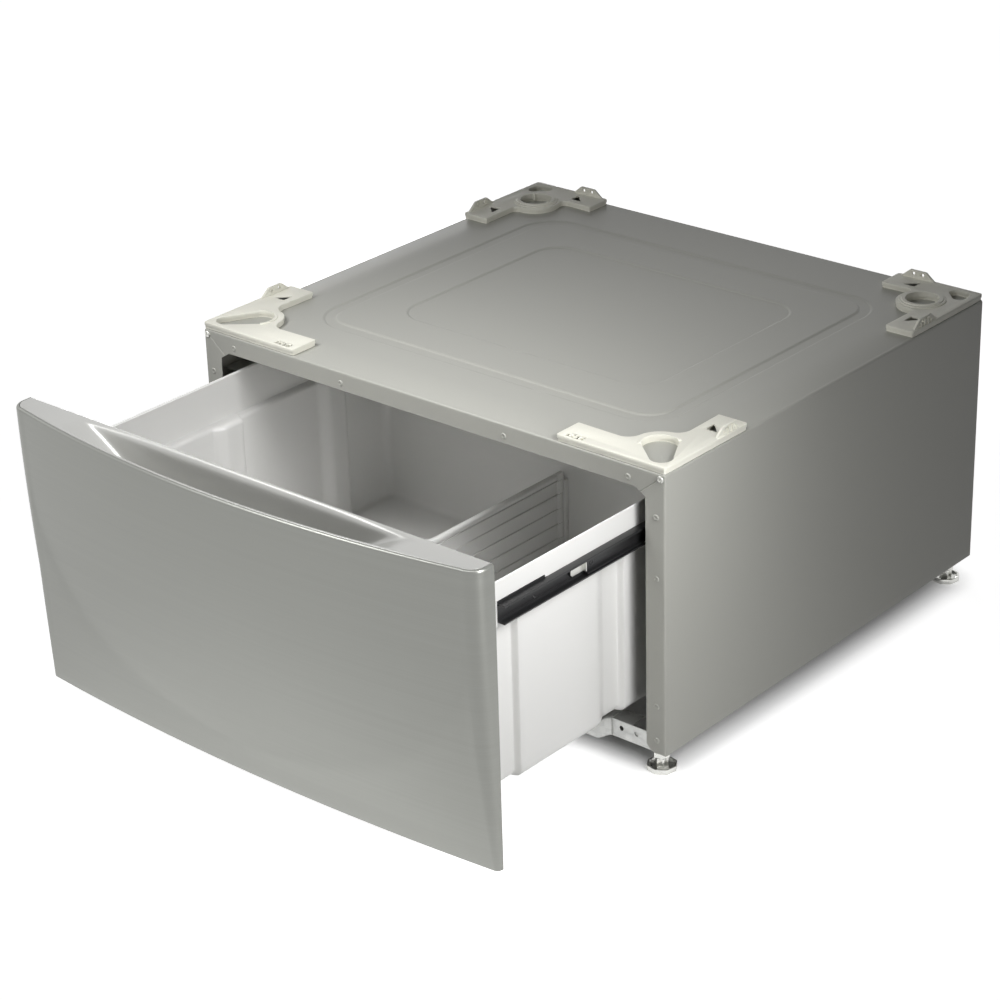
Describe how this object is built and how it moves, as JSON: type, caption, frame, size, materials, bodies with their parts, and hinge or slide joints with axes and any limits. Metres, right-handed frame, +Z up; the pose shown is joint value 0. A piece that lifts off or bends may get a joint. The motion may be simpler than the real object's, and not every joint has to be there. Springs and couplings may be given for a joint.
{
  "type": "washer pedestal drawer",
  "caption": "Low steel pedestal that a washing machine stands on, with a pull-out storage drawer on ball slides, locating corner plates and levelling feet.",
  "frame": {"origin": "centre of the bounding box's bottom, on the floor, with the drawer partly open", "axes": "+Z up; the drawer comes out towards -Y; X runs across the width, with +X on the right when the door is faced"},
  "size_m": [0.686, 0.954, 0.3883],
  "materials": {
    "casing": "silver paint, satin",
    "stainless": "stainless steel brushed along its width",
    "trim": "plastic with silver lacquer",
    "bin": "white moulded plastic, satin",
    "plate": "cream moulded plastic, matt",
    "slide": "black coated steel, satin",
    "zinc": "bright zinc plate",
    "steel": "galvanised sheet, satin"
  },
  "bodies": {
    "cabinet": {"cabinet_wrapper": "casing", "back_panel": "steel", "back_screw_1": "zinc", "back_screw_2": "zinc", "back_screw_3": "zinc", "back_screw_4": "zinc", "front_cross_rail": "steel", "rear_cross_rail": "steel", "mitre_screw_left": "zinc", "slide_bracket_left": "steel", "slide_fixed_member_left": "slide", "corner_plate_front_left": "plate", "foot_bracket_front_left": "steel", "corner_plate_rear_left": "plate", "foot_bracket_rear_left": "steel", "mitre_screw_right": "zinc", "slide_bracket_right": "steel", "slide_fixed_member_right": "slide", "corner_plate_front_right": "plate", "foot_bracket_front_right": "steel", "corner_plate_rear_right": "plate", "foot_bracket_rear_right": "steel"},
    "drawer": {"door_skin": "stainless", "door_top_cap": "trim", "door_bottom_cap": "trim", "door_inner_panel": "steel", "door_screw_1": "zinc", "door_screw_2": "zinc", "door_screw_3": "zinc", "door_screw_4": "zinc", "drawer_bin": "bin", "divider_guide_front": "bin", "divider_guide_rear": "bin", "slide_drawer_member_left": "slide", "slide_screw_left_1": "zinc", "slide_screw_left_2": "zinc", "slide_drawer_member_right": "slide", "slide_screw_right_1": "zinc", "slide_screw_right_2": "zinc"},
    "divider": {"divider": "bin"},
    "slide_middle_left": {"slide_middle_member_left": "slide", "slide_stop_clip_left": "zinc"},
    "ball_cage_outer_left": {"ball_cage_outer_left": "zinc"},
    "ball_cage_inner_left": {"ball_cage_inner_left": "zinc"},
    "foot_front_left": {"foot_front_left": "zinc"},
    "lock_nut_front_left": {"lock_nut_front_left": "zinc"},
    "foot_rear_left": {"foot_rear_left": "zinc"},
    "lock_nut_rear_left": {"lock_nut_rear_left": "zinc"},
    "slide_middle_right": {"slide_middle_member_right": "slide", "slide_stop_clip_right": "zinc"},
    "ball_cage_outer_right": {"ball_cage_outer_right": "zinc"},
    "ball_cage_inner_right": {"ball_cage_inner_right": "zinc"},
    "foot_front_right": {"foot_front_right": "zinc"},
    "lock_nut_front_right": {"lock_nut_front_right": "zinc"},
    "foot_rear_right": {"foot_rear_right": "zinc"},
    "lock_nut_rear_right": {"lock_nut_rear_right": "zinc"}
  },
  "joints": [
    {"name": "drawer_slide", "type": "slide", "parent": "cabinet", "child": "drawer", "axis": [0, -1, 0], "range_m": [-0.269, 0.15]},
    {"name": "slide_middle_left_travel", "type": "slide", "parent": "cabinet", "child": "slide_middle_left", "axis": [0, -1, 0], "range_m": [-0.135, 0.0755]},
    {"name": "ball_cage_outer_left_travel", "type": "slide", "parent": "cabinet", "child": "ball_cage_outer_left", "axis": [0, -1, 0], "range_m": [-0.20225, 0.113]},
    {"name": "ball_cage_inner_left_travel", "type": "slide", "parent": "cabinet", "child": "ball_cage_inner_left", "axis": [0, -1, 0], "range_m": [-0.06775, 0.038]},
    {"name": "slide_middle_right_travel", "type": "slide", "parent": "cabinet", "child": "slide_middle_right", "axis": [0, -1, 0], "range_m": [-0.135, 0.0755]},
    {"name": "ball_cage_outer_right_travel", "type": "slide", "parent": "cabinet", "child": "ball_cage_outer_right", "axis": [0, -1, 0], "range_m": [-0.20225, 0.113]},
    {"name": "ball_cage_inner_right_travel", "type": "slide", "parent": "cabinet", "child": "ball_cage_inner_right", "axis": [0, -1, 0], "range_m": [-0.06775, 0.038]},
    {"name": "divider_lift", "type": "slide", "parent": "drawer", "child": "divider", "axis": [0, 0, 1], "range_m": [0, 0.04]},
    {"name": "foot_front_left_height", "type": "slide", "parent": "cabinet", "child": "foot_front_left", "axis": [0, 0, -1], "range_m": [0, 0.012]},
    {"name": "lock_nut_front_left_turn", "type": "hinge", "parent": "foot_front_left", "child": "lock_nut_front_left", "pos_m": [-0.322, -0.122, 0.016], "axis": [0, 0, 1], "continuous": true},
    {"name": "foot_rear_left_height", "type": "slide", "parent": "cabinet", "child": "foot_rear_left", "axis": [0, 0, -1], "range_m": [0, 0.012]},
    {"name": "lock_nut_rear_left_turn", "type": "hinge", "parent": "foot_rear_left", "child": "lock_nut_rear_left", "pos_m": [-0.322, 0.456, 0.016], "axis": [0, 0, 1], "continuous": true},
    {"name": "foot_front_right_height", "type": "slide", "parent": "cabinet", "child": "foot_front_right", "axis": [0, 0, -1], "range_m": [0, 0.012]},
    {"name": "lock_nut_front_right_turn", "type": "hinge", "parent": "foot_front_right", "child": "lock_nut_front_right", "pos_m": [0.322, -0.122, 0.016], "axis": [0, 0, 1], "continuous": true},
    {"name": "foot_rear_right_height", "type": "slide", "parent": "cabinet", "child": "foot_rear_right", "axis": [0, 0, -1], "range_m": [0, 0.012]},
    {"name": "lock_nut_rear_right_turn", "type": "hinge", "parent": "foot_rear_right", "child": "lock_nut_rear_right", "pos_m": [0.322, 0.456, 0.016], "axis": [0, 0, 1], "continuous": true}
  ],
  "couplings": [
    {"joint": "slide_middle_left_travel", "follows": "drawer_slide", "ratio": 0.5},
    {"joint": "ball_cage_outer_left_travel", "follows": "drawer_slide", "ratio": 0.75},
    {"joint": "ball_cage_inner_left_travel", "follows": "drawer_slide", "ratio": 0.25},
    {"joint": "slide_middle_right_travel", "follows": "drawer_slide", "ratio": 0.5},
    {"joint": "ball_cage_outer_right_travel", "follows": "drawer_slide", "ratio": 0.75},
    {"joint": "ball_cage_inner_right_travel", "follows": "drawer_slide", "ratio": 0.25}
  ]
}
